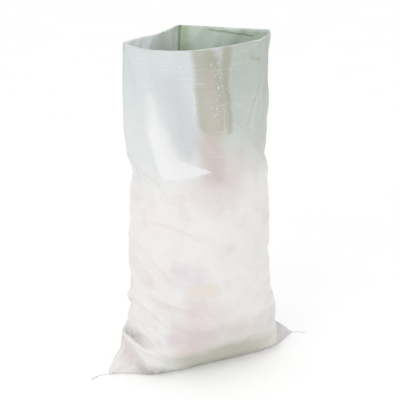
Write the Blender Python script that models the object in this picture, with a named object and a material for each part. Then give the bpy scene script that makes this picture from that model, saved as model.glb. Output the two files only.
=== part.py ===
"""A woven polypropylene rubble sack, filled and standing with its mouth open.

Units are metres and +Z is up. X runs along the bottom seam, the front faces -Y, and the
origin is on the floor under the middle of the seam. The sack is a tube of cloth that was
made flat, sewn straight across its bottom end and stood upright with rubble in it: the two
corners of the seam stay empty and stick out as ears, and the mouth keeps its flat creases.
"""

import math
import random

import bmesh
import bpy
from mathutils import Euler, Matrix, Vector

# Cloth
LAY_FLAT_WIDTH = 0.550
CLOTH = 0.0012
BASE_THICKNESS = 0.0035
RIM_HEIGHT = 0.852

# Rubble
FILL_HEIGHT = 0.500
HEAP_RISE = 0.020
SIDE_GAP = 0.0020
CLEARANCE = 0.0003
BRICK_WIDTH = 0.1025
BRICK_HEIGHT = 0.065

# Sewing thread
THREAD_DIAMETER = 0.0014
GROOVE_WIDTH = 0.0024
GROOVE_DEPTH = 0.0022

# Outline of the filled body by height: (height, half width, half depth, shift of its middle to +X)
BODY_STATIONS = (
    (0.000, 0.192, 0.064, 0.002),
    (0.012, 0.198, 0.083, 0.001),
    (0.040, 0.200, 0.108, -0.003),
    (0.090, 0.196, 0.135, -0.009),
    (0.170, 0.190, 0.156, -0.014),
    (0.300, 0.182, 0.168, -0.013),
    (0.430, 0.175, 0.174, -0.013),
    (0.520, 0.169, 0.173, -0.013),
    (0.600, 0.172, 0.172, -0.013),
)
MOUTH_STARTS = 0.500
MOUTH_REACHED = 0.800
BASE_SQUARENESS = 0.72
SQUARE_UP_TO = 0.200

# Side creases of the ears, from the tip on the floor up to the body: (height, reach from the middle)
RIGHT_EAR = (
    (0.000, LAY_FLAT_WIDTH / 2),
    (0.014, 0.2670),
    (0.040, 0.2340),
    (0.058, 0.2120),
    (0.090, 0.2000),
    (0.130, 0.1900),
)
LEFT_EAR = (
    (0.000, LAY_FLAT_WIDTH / 2),
    (0.028, 0.2650),
    (0.048, 0.2550),
    (0.068, 0.2430),
    (0.096, 0.2340),
    (0.130, 0.2080),
)
EARS_END = 0.130
EAR_FLARE = 0.45
EAR_SPREAD = 0.32

# Plan of the mouth about its own middle: the front from the right crease to the left one, and the back
MOUTH_SHIFT = -0.023
RIGHT_CREASE = (0.197, -0.009)
LEFT_CREASE = (-0.197, -0.008)
MOUTH_FRONT = (
    (0.168, -0.076),
    (0.108, -0.120),
    (0.012, -0.154),
    (-0.092, -0.168),
    (-0.163, -0.138),
    (-0.192, -0.078),
)
BACK_CREASE = (0.022, 0.153)
BACK_DENT = (-0.094, 0.050)

# Folds of the cloth: two places (degrees round, height), half breadth, and how far it stands out there.
# Degrees run from the right crease round the front to the left crease at 180, and on round the back.
FOLD_RADIUS = LAY_FLAT_WIDTH / math.pi
FOLDS = (
    ((132, 0.450), (146, 0.590), 0.050, 0.026),
    ((166, 0.580), (180, 0.650), 0.036, 0.018),
    ((78, 0.630), (100, 0.770), 0.036, 0.020),
    ((116, 0.640), (134, 0.770), 0.030, -0.022),
    ((20, 0.575), (54, 0.635), 0.030, -0.034),
    ((16, 0.680), (28, 0.780), 0.030, -0.014),
    ((2, 0.775), (12, 0.775), 0.026, -0.012),
    ((-4, 0.600), (-2, 0.665), 0.050, -0.028),
    ((-30, 0.605), (-50, 0.592), 0.036, -0.024),
    ((-66, 0.655), (-26, 0.775), 0.036, 0.026),
    ((-76, 0.745), (-62, 0.745), 0.026, 0.016),
    ((-90, 0.650), (-96, 0.710), 0.030, -0.020),
    ((-104, 0.580), (-140, 0.620), 0.036, -0.026),
    ((-106, 0.700), (-132, 0.770), 0.036, 0.020),
)

# Where the rings of the loft lie, and where each ring has its points on half a turn
LOW_RINGS = (0.0, 0.006, 0.018, 0.040, 0.066, 0.096, 0.130, 0.175, 0.240, 0.320, 0.400, 0.455)
HIGH_RINGS = (0.530, 0.560, 0.590, 0.620, 0.655, 0.695, 0.740, 0.790, RIM_HEIGHT)
RING_ANGLES = (0, 4, 10, 18, 28, 40, 53, 66, 78, 90, 102, 114, 127, 140, 152, 162, 170, 176, 180)

# Broken bricks on top: name, length, slant of the break, spot on plan, rise over the fill, turn in degrees
BRICKS = (
    ("half_brick", 0.112, 0.35, (-0.066, -0.064), 0.022, (12, -10, 24)),
    ("brick_bat", 0.094, -0.20, (0.068, 0.062), 0.018, (-10, 12, -48)),
    ("brick_end", 0.070, 0.15, (0.066, -0.064), 0.020, (26, 8, 56)),
    ("split_brick", 0.076, 0.45, (-0.080, 0.078), 0.012, (-8, 24, 128)),
)

# Lumps on top: name, size, seed, spot on plan, rise over the fill, turn in degrees
LUMPS = (
    ("mortar_lump", (0.070, 0.056, 0.052), 3, (0.000, 0.000), 0.024, (10, 20, 40)),
    ("flat_mortar_lump", (0.062, 0.056, 0.034), 5, (0.006, -0.118), 0.010, (0, 12, 30)),
    ("concrete_lump", (0.064, 0.056, 0.050), 8, (-0.008, 0.126), 0.010, (24, 0, 60)),
    ("small_mortar_lump", (0.046, 0.040, 0.036), 11, (0.130, -0.012), 0.008, (0, 30, 10)),
    ("render_lump", (0.050, 0.044, 0.038), 14, (-0.132, 0.010), 0.008, (20, 0, 45)),
)
BREAK_AT = 0.36
BREAK_SKEW = 0.25
SECOND_BREAK_SKEW = -0.40
LUMP_ROUGHNESS = (0.82, 1.12)

# Free ends of the sewing thread on the floor: (distance beyond the ear's tip, y, height of its middle)
LEFT_END = (
    (0.000, 0.000, 0.0010),
    (0.012, 0.003, 0.0012),
    (0.026, 0.004, 0.0010),
    (0.038, -0.001, 0.0009),
    (0.046, -0.005, 0.0009),
)
RIGHT_END = (
    (0.000, 0.000, 0.0010),
    (0.010, -0.002, 0.0012),
    (0.020, -0.009, 0.0011),
    (0.029, -0.020, 0.0009),
)

# Colours
CLOTH_WHITE = (0.86, 0.88, 0.87)
THREAD_WHITE = (0.80, 0.80, 0.78)
DUST_BEIGE = (0.55, 0.50, 0.45)
BRICK_PINK = (0.58, 0.33, 0.27)
MORTAR_GREY = (0.62, 0.60, 0.56)


def clear_scene():
    for old in list(bpy.data.objects):
        bpy.data.objects.remove(old)


def new_collection(name):
    made = bpy.data.collections.new(name)
    bpy.context.scene.collection.children.link(made)
    return made


def new_material(name, colour, roughness):
    made = bpy.data.materials.new(name)
    made.use_nodes = True
    shader = made.node_tree.nodes["Principled BSDF"]
    shader.inputs["Base Color"].default_value = (*colour, 1.0)
    shader.inputs["Roughness"].default_value = roughness
    shader.inputs["Metallic"].default_value = 0.0
    made.diffuse_color = (*colour, 1.0)
    return made


def add_object(name, shape, home, finish=None):
    """Puts a bmesh in a collection as a named object."""
    mesh = bpy.data.meshes.new(name)
    shape.to_mesh(mesh)
    shape.free()
    made = bpy.data.objects.new(name, mesh)
    home.objects.link(made)
    if finish:
        mesh.materials.append(finish)
    return made


def add_cutter(name, shape, cutters):
    """A helper that isn't part of the model."""
    made = add_object(name, shape, cutters)
    made.hide_render = True
    made.display_type = "WIRE"
    return made


def cut(target, cutter):
    modifier = target.modifiers.new(cutter.name, "BOOLEAN")
    modifier.operation = "DIFFERENCE"
    modifier.object = cutter


def between(stations, height):
    """The values of a table at a height, on a smooth curve through its rows."""
    rows = [stations[0], *stations, stations[-1]]
    i = 1
    while i < len(rows) - 3 and height > rows[i + 1][0]:
        i += 1
    before, low, high, after = rows[i - 1 : i + 3]
    step = high[0] - low[0]
    t = min(1.0, max(0.0, (height - low[0]) / step))
    found = []
    for k in range(1, len(low)):
        slope_low = (high[k] - before[k]) / (high[0] - before[0])
        slope_high = (after[k] - low[k]) / (after[0] - low[0])
        found.append(
            (2 * t**3 - 3 * t**2 + 1) * low[k]
            + (t**3 - 2 * t**2 + t) * slope_low * step
            + (3 * t**2 - 2 * t**3) * high[k]
            + (t**3 - t**2) * slope_high * step
        )
    return found


def smooth_line(points, steps=8):
    """A denser polyline on a smooth curve through the points."""
    ends = [Vector(p) for p in (points[0], *points, points[-1])]
    line = []
    for a, b, c, d in zip(ends, ends[1:], ends[2:], ends[3:]):
        for step in range(steps):
            t = step / steps
            bend = (2 * a - 5 * b + 4 * c - d) * t**2 + (3 * b - a - 3 * c + d) * t**3
            line.append(0.5 * (2 * b + (c - a) * t + bend))
    return [*line, ends[-1]]


def along(line, share):
    """The point at that share of a polyline's length."""
    lengths = [(b - a).length for a, b in zip(line, line[1:])]
    left = share * sum(lengths)
    for a, b, length in zip(line, line[1:], lengths):
        if left <= length:
            return a.lerp(b, left / length)
        left -= length
    return line[-1]


def mouth_point(angle, front):
    """Where a ring's point lies in the plan of the mouth: the side creases are at 0 and 180 degrees."""
    share = angle / 180
    if front:
        point = along(smooth_line([RIGHT_CREASE, *MOUTH_FRONT, LEFT_CREASE]), share)
    elif share <= 0.5:
        point = along([Vector(RIGHT_CREASE), Vector(BACK_CREASE)], share * 2)
    else:
        point = along([Vector(BACK_CREASE), Vector(BACK_DENT), Vector(LEFT_CREASE)], share * 2 - 1)
    return point + Vector((MOUTH_SHIFT, 0.0))


def body_point(angle, front, height):
    """Where a ring's point lies on the oval of the filled body, which is squarer in front near the floor."""
    half_width, half_depth, shift = between(BODY_STATIONS, height)
    squareness = BASE_SQUARENESS if front else 1.0
    power = min(1.0, squareness + (1 - squareness) * height / SQUARE_UP_TO)
    across, deep = math.cos(math.radians(angle)), math.sin(math.radians(angle))
    x = half_width * math.copysign(abs(across) ** power, across)
    y = half_depth * abs(deep) ** power
    return Vector((x + shift, -y if front else y))


def fold_rise(angle, height):
    """How far the folds move the cloth outwards at a place."""
    rise = 0.0
    for (start_angle, start_height), (end_angle, end_height), breadth, depth in FOLDS:
        line = Vector((math.radians(end_angle - start_angle) * FOLD_RADIUS, end_height - start_height))
        turned = (angle - start_angle + 180) % 360 - 180
        place = Vector((math.radians(turned) * FOLD_RADIUS, height - start_height))
        share = min(1.0, max(0.0, place.dot(line) / line.dot(line)))
        rise += depth * math.exp(-(((place - line * share).length / breadth) ** 2))
    return rise


def ring(height):
    """One closed outline of the cloth without the ears, from the right crease round the front and back."""
    t = min(1.0, max(0.0, (height - MOUTH_STARTS) / (MOUTH_REACHED - MOUTH_STARTS)))
    share = t * t * (3 - 2 * t)
    turns = [(angle, True) for angle in RING_ANGLES] + [(angle, False) for angle in RING_ANGLES[-2:0:-1]]
    points = [body_point(*turn, height).lerp(mouth_point(*turn), share) for turn in turns]
    rises = [fold_rise(angle if front else -angle, height) for angle, front in turns]
    return [point + point.normalized() * rise for point, rise in zip(points, rises)]


def inset(points, distance):
    """The outline moved inwards, square to its sides."""
    moved = []
    for before, point, after in zip([points[-1], *points], points, [*points[1:], points[0]]):
        first, second = (point - before).normalized(), (after - point).normalized()
        first_side, second_side = Vector((first.y, -first.x)), Vector((second.y, -second.x))
        middle = (first_side + second_side).normalized()
        moved.append(point + middle * distance / max(0.5, middle.dot(first_side)))
    return moved


def with_ears(points, height):
    """The outline with its two ends pulled out into the flat, empty corners of the seam."""
    if height >= EARS_END:
        return points
    made, last = list(points), len(RING_ANGLES) - 1
    for end, side, ear in ((0, 1, RIGHT_EAR), (last, -1, LEFT_EAR)):
        crease = max(between(ear, height)[0], abs(points[end].x))
        made[end] = Vector((side * crease, 0.0))
        for neighbour in (end - 1, end + 1):
            point = points[neighbour]
            x = abs(point.x) + EAR_FLARE * (crease - abs(point.x))
            y = max(abs(point.y), EAR_SPREAD * (crease - x))
            made[neighbour] = Vector((side * x, math.copysign(y, point.y)))
    return made


def at_height(points, height):
    return [Vector((point.x, point.y, height)) for point in points]


def loft(name, rings, home, finish):
    """A closed solid through rings of equally many points, with a flat face on its first and last.

    Its faces start at the same corner going up as going down, so that both skins of a wall bend alike.
    """
    shape = bmesh.new()
    loops = [[shape.verts.new(point) for point in points] for points in rings]
    for first, then in zip(loops, loops[1:]):
        for i in range(len(first)):
            j = (i + 1) % len(first)
            if first[i].co.z <= then[i].co.z:
                shape.faces.new((first[i], first[j], then[j], then[i]))
            else:
                shape.faces.new((first[j], then[j], then[i], first[i]))
    shape.faces.new(loops[0])
    shape.faces.new(loops[-1])
    bmesh.ops.recalc_face_normals(shape, faces=shape.faces)
    return add_object(name, shape, home, finish)


def make_sack(home, cutters, finish):
    """The cloth: up the outside to the rim, down the inside to the base."""
    heights = [*LOW_RINGS, FILL_HEIGHT, *HIGH_RINGS]
    outer = [at_height(with_ears(ring(z), z), z) for z in heights]
    inner_heights = [BASE_THICKNESS, *[z for z in heights if z > 2 * BASE_THICKNESS]]
    inner = [at_height(inset(ring(z), CLOTH), z) for z in inner_heights]
    sack = loft("sack", outer + inner[::-1], home, finish)
    groove = bmesh.new()
    size = Matrix.Diagonal((LAY_FLAT_WIDTH * 1.2, GROOVE_WIDTH, 2 * GROOVE_DEPTH, 1.0))
    bmesh.ops.create_cube(groove, size=1.0, matrix=size)
    cut(sack, add_cutter("seam_groove", groove, cutters))


def make_rubble_core(home, finish):
    """The rubble below the top pieces, filling the cloth up to a low heap."""
    wall = CLOTH + SIDE_GAP
    low = BASE_THICKNESS + CLEARANCE
    heights = [low, *[z for z in LOW_RINGS if z > 2 * BASE_THICKNESS], FILL_HEIGHT]
    rings = [at_height(inset(ring(z), wall), z) for z in heights]
    edge = ring(FILL_HEIGHT)
    for shrink, rise in ((0.90, 0.6 * HEAP_RISE), (0.55, HEAP_RISE)):
        rings.append(at_height([point * shrink for point in edge], FILL_HEIGHT + rise))
    return loft("rubble_core", rings, home, finish)


def place(shape, centre, turn):
    """Turns a bmesh by angles in degrees and moves it into place."""
    rotation = Euler([math.radians(angle) for angle in turn]).to_matrix().to_4x4()
    bmesh.ops.transform(shape, matrix=Matrix.Translation(centre) @ rotation, verts=shape.verts)


def brick_piece(length, break_slope):
    """A piece of a standard brick, whole at one end and broken off in two slants at the other."""
    shape = bmesh.new()
    size = Matrix.Diagonal((length, BRICK_WIDTH, BRICK_HEIGHT, 1.0))
    bmesh.ops.create_cube(shape, size=1.0, matrix=size)
    for normal in (Vector((1.0, break_slope, BREAK_SKEW)), Vector((1.0, SECOND_BREAK_SKEW, -break_slope))):
        whole = [*shape.verts, *shape.edges, *shape.faces]
        point = Vector((length * BREAK_AT, 0.0, 0.0))
        found = bmesh.ops.bisect_plane(shape, geom=whole, plane_co=point, plane_no=normal, clear_outer=True)
        edges = [piece for piece in found["geom_cut"] if isinstance(piece, bmesh.types.BMEdge)]
        bmesh.ops.contextual_create(shape, geom=edges)
    bmesh.ops.recalc_face_normals(shape, faces=shape.faces)
    return shape


def lump(size, seed):
    """A rounded, uneven lump: the hull of a ball's points, each moved in or out a little."""
    draw = random.Random(seed)
    shape = bmesh.new()
    bmesh.ops.create_icosphere(shape, subdivisions=1, radius=0.5)
    for vert in shape.verts:
        vert.co = Vector([place * side * draw.uniform(*LUMP_ROUGHNESS) for place, side in zip(vert.co, size)])
    hull = bmesh.ops.convex_hull(shape, input=shape.verts)
    inside = [piece for piece in hull["geom_interior"] if isinstance(piece, bmesh.types.BMVert)]
    bmesh.ops.delete(shape, geom=inside, context="VERTS")
    bmesh.ops.recalc_face_normals(shape, faces=shape.faces)
    return shape


def thinnest_side(shape):
    """The least of a bmesh's width, depth and height."""
    return min(max(vert.co[k] for vert in shape.verts) - min(vert.co[k] for vert in shape.verts) for k in range(3))


def add_rubble_piece(name, shape, spot, rise, turn, core, home, cutters, finish):
    """Puts one piece on the heap, and cuts the hollow that it sits in, a little larger, out of the core."""
    middle_shift = between(BODY_STATIONS, FILL_HEIGHT)[-1]
    centre = Vector((spot[0] + middle_shift, spot[1], FILL_HEIGHT + rise))
    hollow = shape.copy()
    growth = 1 + 2 * CLEARANCE / thinnest_side(shape)
    bmesh.ops.scale(hollow, vec=Vector((growth, growth, growth)), verts=hollow.verts)
    place(shape, centre, turn)
    place(hollow, centre, turn)
    add_object(name, shape, home, finish)
    cut(core, add_cutter(name + "_hollow", hollow, cutters))


def make_rubble_pieces(core, home, cutters):
    brick = new_material("brick", BRICK_PINK, 0.9)
    mortar = new_material("mortar", MORTAR_GREY, 0.9)
    for name, length, break_slope, spot, rise, turn in BRICKS:
        add_rubble_piece(name, brick_piece(length, break_slope), spot, rise, turn, core, home, cutters, brick)
    for name, size, seed, spot, rise, turn in LUMPS:
        add_rubble_piece(name, lump(size, seed), spot, rise, turn, core, home, cutters, mortar)


def make_thread(name, points, home, finish):
    """A length of sewing thread through the points."""
    curve = bpy.data.curves.new(name, "CURVE")
    curve.dimensions = "3D"
    curve.bevel_depth = THREAD_DIAMETER / 2
    curve.bevel_resolution = 2
    curve.use_fill_caps = True
    spline = curve.splines.new("POLY")
    spline.points.add(len(points) - 1)
    for target, point in zip(spline.points, points):
        target.co = (*point, 1.0)
    curve.materials.append(finish)
    home.objects.link(bpy.data.objects.new(name, curve))


def make_sewing_thread(home, finish):
    """The thread in the bottom seam, and the two ends that hang out of it."""
    end = LAY_FLAT_WIDTH / 2
    middle = THREAD_DIAMETER / 2 + CLEARANCE
    make_thread("seam_thread", [(-end, 0.0, middle), (0.0, 0.0, middle), (end, 0.0, middle)], home, finish)
    for name, side, route in (("thread_end_left", -1, LEFT_END), ("thread_end_right", 1, RIGHT_END)):
        points = [Vector((side * (end + CLEARANCE + beyond), y, z)) for beyond, y, z in route]
        make_thread(name, smooth_line(points, steps=4), home, finish)


def main():
    clear_scene()
    home = new_collection("rubble sack")
    cutters = new_collection("cutters")
    make_sack(home, cutters, new_material("woven cloth", CLOTH_WHITE, 0.45))
    core = make_rubble_core(home, new_material("rubble", DUST_BEIGE, 0.95))
    make_rubble_pieces(core, home, cutters)
    make_sewing_thread(home, new_material("sewing thread", THREAD_WHITE, 0.7))


main()
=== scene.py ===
"""Looks of the rubble sack: its cloth, its sewing thread, the broken brick in it, the light and the camera.

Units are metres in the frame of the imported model: X runs along the bottom seam, the front
faces -Y and +Z is up. The cloth is simulated from the flat tube that it was woven as.
"""

import math
import random

import bmesh
import bpy
import numpy as np
from mathutils import Euler, Matrix, Vector, noise


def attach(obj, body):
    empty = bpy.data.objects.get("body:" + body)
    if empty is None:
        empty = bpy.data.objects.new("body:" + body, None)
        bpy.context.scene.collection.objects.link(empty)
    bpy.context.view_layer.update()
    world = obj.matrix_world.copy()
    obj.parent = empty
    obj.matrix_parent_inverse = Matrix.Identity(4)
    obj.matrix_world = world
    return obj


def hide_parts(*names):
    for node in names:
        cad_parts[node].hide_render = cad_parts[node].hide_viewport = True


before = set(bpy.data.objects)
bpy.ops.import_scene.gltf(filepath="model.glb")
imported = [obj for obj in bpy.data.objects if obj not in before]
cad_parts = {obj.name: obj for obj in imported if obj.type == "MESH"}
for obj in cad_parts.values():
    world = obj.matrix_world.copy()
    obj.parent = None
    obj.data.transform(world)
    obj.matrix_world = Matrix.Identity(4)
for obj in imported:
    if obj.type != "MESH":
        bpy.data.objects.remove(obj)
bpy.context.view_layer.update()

# Cloth
TUBE_ROUND = 1.10
TUBE_LENGTH = 0.95
SEAM_END = 0.275
CLOTH = 0.0006
FLOOR_GAP = 0.0012
LAYER_GAP = 0.0016
RIM_HEIGHT = 0.852
TAPE = 0.0028

# Plan of the mouth about its own middle, from the left crease round the front to the right and back
MOUTH = (
    (-0.197, -0.008),
    (-0.192, -0.075),
    (-0.175, -0.122),
    (-0.147, -0.148),
    (-0.120, -0.160),
    (-0.105, -0.166),
    (-0.078, -0.168),
    (-0.049, -0.165),
    (-0.019, -0.160),
    (0.019, -0.151),
    (0.065, -0.133),
    (0.110, -0.112),
    (0.160, -0.070),
    (0.197, -0.009),
    (0.138, 0.042),
    (0.085, 0.097),
    (0.025, 0.153),
    (-0.040, 0.090),
    (-0.080, 0.055),
    (-0.129, 0.035),
)
MOUTH_SHIFT = -0.023
MOUTH_SCALE = 1.0075
MOUTH_TURN = 0.001

# Outline of the rubble by height: (height, half width, half depth, shift of its middle to +X)
RUBBLE = np.array(
    (
        (0.000, 0.196, 0.062, 0.004),
        (0.012, 0.200, 0.080, 0.002),
        (0.040, 0.198, 0.109, -0.005),
        (0.090, 0.190, 0.138, -0.012),
        (0.170, 0.183, 0.157, -0.014),
        (0.300, 0.1775, 0.168, -0.0125),
        (0.430, 0.173, 0.176, -0.011),
        (0.500, 0.167, 0.176, -0.014),
        (0.575, 0.150, 0.152, -0.011),
    )
)
RUBBLE_TOP = 0.575
HEAP_X = -0.013
FILL_HEIGHT = 0.500
EDGE_HEIGHTS = (0.478, 0.484, 0.490, 0.496, 0.502, 0.508, 0.514)
SLACK = 0.975
WEIGHT = 0.3
EAR_LAID, EAR_LAID_REACH = 0.3, 0.09
BASE_SQUARENESS = 0.42
SQUARE_UP_TO = 0.200

# Creases of the flat tube, as distances round it from the left one
LEFT_FOLD, FRONT_FOLD, RIGHT_FOLD, BACK_FOLD = 0.0, 0.275, 0.550, 0.825
FOLDS_FADE = (0.15, 0.58)

# Stiff creases, drawn to a line: (distance round, share of the pull, (distance up, x, y, z or any) along it)
GUIDES = (
    (
        LEFT_FOLD,
        0.3,
        (
            (0.580, -0.182, -0.006),
            (0.620, -0.187, -0.006),
            (0.650, -0.197, -0.006),
            (0.690, -0.216, -0.010),
            (0.745, -0.223, -0.011),
            (0.850, -0.224, -0.012),
            (0.950, -0.2212, -0.014),
        ),
    ),
    (
        LEFT_FOLD,
        0.5,
        (
            (0.000, -0.275, 0.000, 0.001),
            (0.014, -0.270, 0.000, 0.014),
            (0.030, -0.265, 0.000, 0.029),
            (0.052, -0.255, 0.000, 0.049),
            (0.077, -0.240, 0.000, 0.068),
            (0.098, -0.236, 0.000, 0.089),
            (0.118, -0.233, 0.000, 0.109),
        ),
    ),
    (
        LEFT_FOLD,
        0.3,
        (
            (0.125, -0.225, 0.000),
            (0.150, -0.208, 0.000),
            (0.200, -0.204, 0.000),
            (0.260, -0.200, 0.000),
        ),
    ),
    (
        RIGHT_FOLD,
        0.5,
        (
            (0.000, 0.275, 0.000, 0.001),
            (0.018, 0.262, 0.000, 0.014),
            (0.033, 0.250, 0.000, 0.024),
            (0.056, 0.232, 0.000, 0.039),
            (0.078, 0.214, 0.000, 0.051),
            (0.098, 0.202, 0.000, 0.066),
        ),
    ),
    (
        RIGHT_FOLD,
        0.3,
        (
            (0.620, 0.160, -0.018),
            (0.660, 0.164, -0.022),
            (0.700, 0.163, -0.026),
            (0.780, 0.160, -0.030),
            (0.900, 0.160, -0.031),
            (0.945, 0.165, -0.028),
        ),
    ),
)

# Where the cloth is drawn out (+) or in (-): (round, up, round, up, half breadth, force)
PULLS = (
    (0.100, 0.840, 0.125, 0.655, 0.020, 1.5),
    (0.125, 0.645, 0.224, 0.651, 0.014, 3.0),
    (0.160, 0.800, 0.180, 0.705, 0.022, -1.4),
    (0.110, 0.602, 0.214, 0.610, 0.012, -1.0),
    (0.424, 0.940, 0.424, 0.720, 0.008, 0.6),
    (0.475, 0.930, 0.475, 0.700, 0.020, -0.4),
    (0.216, 0.930, 0.204, 0.720, 0.008, 0.5),
    (0.300, 0.930, 0.286, 0.710, 0.008, 0.5),
    (0.250, 0.840, 0.345, 0.700, 0.022, 0.4),
    # The folds of the full part
    (0.020, 0.470, 0.105, 0.430, 0.009, 2.5),
    (0.070, 0.314, 0.138, 0.300, 0.009, 2.5),
    (0.049, 0.222, 0.093, 0.204, 0.009, 2.5),
    (0.098, 0.188, 0.181, 0.168, 0.009, 2.5),
    (0.070, 0.132, 0.165, 0.112, 0.009, 2.5),
    (0.372, 0.465, 0.440, 0.485, 0.009, 2.5),
    (0.372, 0.330, 0.442, 0.360, 0.009, 2.5),
    (0.345, 0.225, 0.414, 0.265, 0.009, 2.5),
)

# Sewing thread: routes of its free ends as (distance beyond the ear's tip, y, height of its middle)
THREAD_DIAMETER = 0.0014
THREAD_START = SEAM_END + 0.0003
LEFT_END = (
    (0.000, 0.000, 0.0010),
    (0.012, 0.003, 0.0012),
    (0.026, 0.004, 0.0010),
    (0.038, -0.001, 0.0009),
    (0.046, -0.005, 0.0009),
)
RIGHT_END = (
    (0.000, 0.000, 0.0010),
    (0.010, -0.002, 0.0012),
    (0.020, -0.009, 0.0011),
    (0.029, -0.020, 0.0009),
)


# Nodes of a material


def feed(tree, socket, value):
    """Gives a socket a number, a colour or another node's output."""
    if isinstance(value, bpy.types.NodeSocket):
        tree.links.new(value, socket)
    elif isinstance(value, tuple) and len(value) == 3 and socket.type == "RGBA":
        socket.default_value = (*value, 1.0)
    else:
        socket.default_value = value


def calculate(tree, operation, *values):
    made = tree.nodes.new("ShaderNodeMath")
    made.operation = operation
    for socket, value in zip(made.inputs, values):
        feed(tree, socket, value)
    return made.outputs[0]


def fade(tree, value, low, high, start=0.0, end=1.0):
    """From start to end as the value goes from low to high, with soft ends."""
    made = tree.nodes.new("ShaderNodeMapRange")
    made.interpolation_type = "SMOOTHSTEP"
    for socket, number in zip(made.inputs, (value, low, high, start, end)):
        feed(tree, socket, number)
    return made.outputs[0]


def mixed(tree, share, first, second, mode="MIX"):
    made = tree.nodes.new("ShaderNodeMix")
    made.data_type = "RGBA"
    made.blend_type = mode
    feed(tree, made.inputs["Factor"], share)
    feed(tree, made.inputs[6], first)
    feed(tree, made.inputs[7], second)
    return made.outputs[2]


def clouds(tree, where, scale, detail=3.0, roughness=0.5):
    made = tree.nodes.new("ShaderNodeTexNoise")
    feed(tree, made.inputs["Vector"], where)
    feed(tree, made.inputs["Scale"], scale)
    feed(tree, made.inputs["Detail"], detail)
    feed(tree, made.inputs["Roughness"], roughness)
    return made.outputs[0]


def cells(tree, where, scale, output="Distance"):
    made = tree.nodes.new("ShaderNodeTexVoronoi")
    feed(tree, made.inputs["Vector"], where)
    feed(tree, made.inputs["Scale"], scale)
    return made.outputs[output]


def stretched(tree, where, scale):
    made = tree.nodes.new("ShaderNodeMapping")
    feed(tree, made.inputs["Vector"], where)
    feed(tree, made.inputs["Scale"], scale)
    return made.outputs[0]


def relief(tree, height, distance, strength=1.0, under=None):
    made = tree.nodes.new("ShaderNodeBump")
    feed(tree, made.inputs["Strength"], strength)
    feed(tree, made.inputs["Distance"], distance)
    feed(tree, made.inputs["Height"], height)
    if under:
        feed(tree, made.inputs["Normal"], under)
    return made.outputs[0]


def new_material(name, roughness, **constants):
    """A material with one surface shader, and the places that its patterns read."""
    made = bpy.data.materials.new(name)
    made.use_nodes = True
    tree = made.node_tree
    shader = tree.nodes["Principled BSDF"]
    shader.inputs["Roughness"].default_value = roughness
    for name, value in constants.items():
        shader.inputs[name.replace("_", " ")].default_value = value
    places = tree.nodes.new("ShaderNodeTexCoord")
    return made, tree, shader, places


def separated(tree, vector):
    made = tree.nodes.new("ShaderNodeSeparateXYZ")
    feed(tree, made.inputs[0], vector)
    return made.outputs


# The woven cloth's material


def weave(tree, around, up):
    """Height of a plain weave of flat tapes, from 0 to 1."""
    across_warp = calculate(tree, "SINE", calculate(tree, "MULTIPLY", around, math.pi / TAPE))
    across_weft = calculate(tree, "SINE", calculate(tree, "MULTIPLY", up, math.pi / TAPE))
    sign = calculate(tree, "MULTIPLY", across_warp, across_weft)
    warp_on_top = fade(tree, sign, -0.06, 0.06)
    warp_side = calculate(tree, "ABSOLUTE", across_warp)
    weft_side = calculate(tree, "ABSOLUTE", across_weft)
    warp_edge = calculate(tree, "POWER", warp_side, 0.35)
    weft_edge = calculate(tree, "POWER", weft_side, 0.35)
    warp = calculate(tree, "MULTIPLY", warp_edge, calculate(tree, "MULTIPLY_ADD", weft_side, 0.5, 0.5))
    weft = calculate(tree, "MULTIPLY", weft_edge, calculate(tree, "MULTIPLY_ADD", warp_side, 0.5, 0.5))
    shown_warp = calculate(tree, "MULTIPLY", warp, warp_on_top)
    shown_weft = calculate(tree, "MULTIPLY", weft, calculate(tree, "SUBTRACT", 1.0, warp_on_top))
    return calculate(tree, "ADD", shown_warp, shown_weft)


def spot(tree, around, up, centre, size):
    """A soft spot on the cloth, for a tint or for painted shade: 1 in its middle and 0 outside."""
    along = calculate(tree, "DIVIDE", calculate(tree, "SUBTRACT", around, centre[0]), size[0])
    rise = calculate(tree, "DIVIDE", calculate(tree, "SUBTRACT", up, centre[1]), size[1])
    rise_square = calculate(tree, "MULTIPLY", rise, rise)
    squares = calculate(tree, "MULTIPLY_ADD", along, along, rise_square)
    return fade(tree, squares, 1.6, 0.0)


def stroke(tree, around, up, start, end, breadths, soft):
    """A mark along a line over the cloth: 1 in it and 0 outside, with its half breadth at each end."""
    length = math.hypot(end[0] - start[0], end[1] - start[1])
    run, climb = (end[0] - start[0]) / length, (end[1] - start[1]) / length
    sideways = calculate(tree, "MULTIPLY_ADD", around, -climb, start[0] * climb - start[1] * run)
    sideways = calculate(tree, "MULTIPLY_ADD", up, run, sideways)
    along = calculate(tree, "MULTIPLY_ADD", around, run, -start[0] * run - start[1] * climb)
    along = calculate(tree, "MULTIPLY_ADD", up, climb, along)
    from_middle = calculate(tree, "ABSOLUTE", calculate(tree, "SUBTRACT", along, length / 2))
    beyond = calculate(tree, "MAXIMUM", calculate(tree, "SUBTRACT", from_middle, length / 2), 0.0)
    squares = calculate(tree, "MULTIPLY_ADD", sideways, sideways, calculate(tree, "MULTIPLY", beyond, beyond))
    share = calculate(tree, "MAXIMUM", calculate(tree, "MINIMUM", along, length), 0.0)
    breadth = calculate(tree, "MULTIPLY_ADD", share, (breadths[1] - breadths[0]) / length, breadths[0])
    return fade(tree, calculate(tree, "SUBTRACT", calculate(tree, "SQRT", squares), breadth), soft, -soft)
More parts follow.
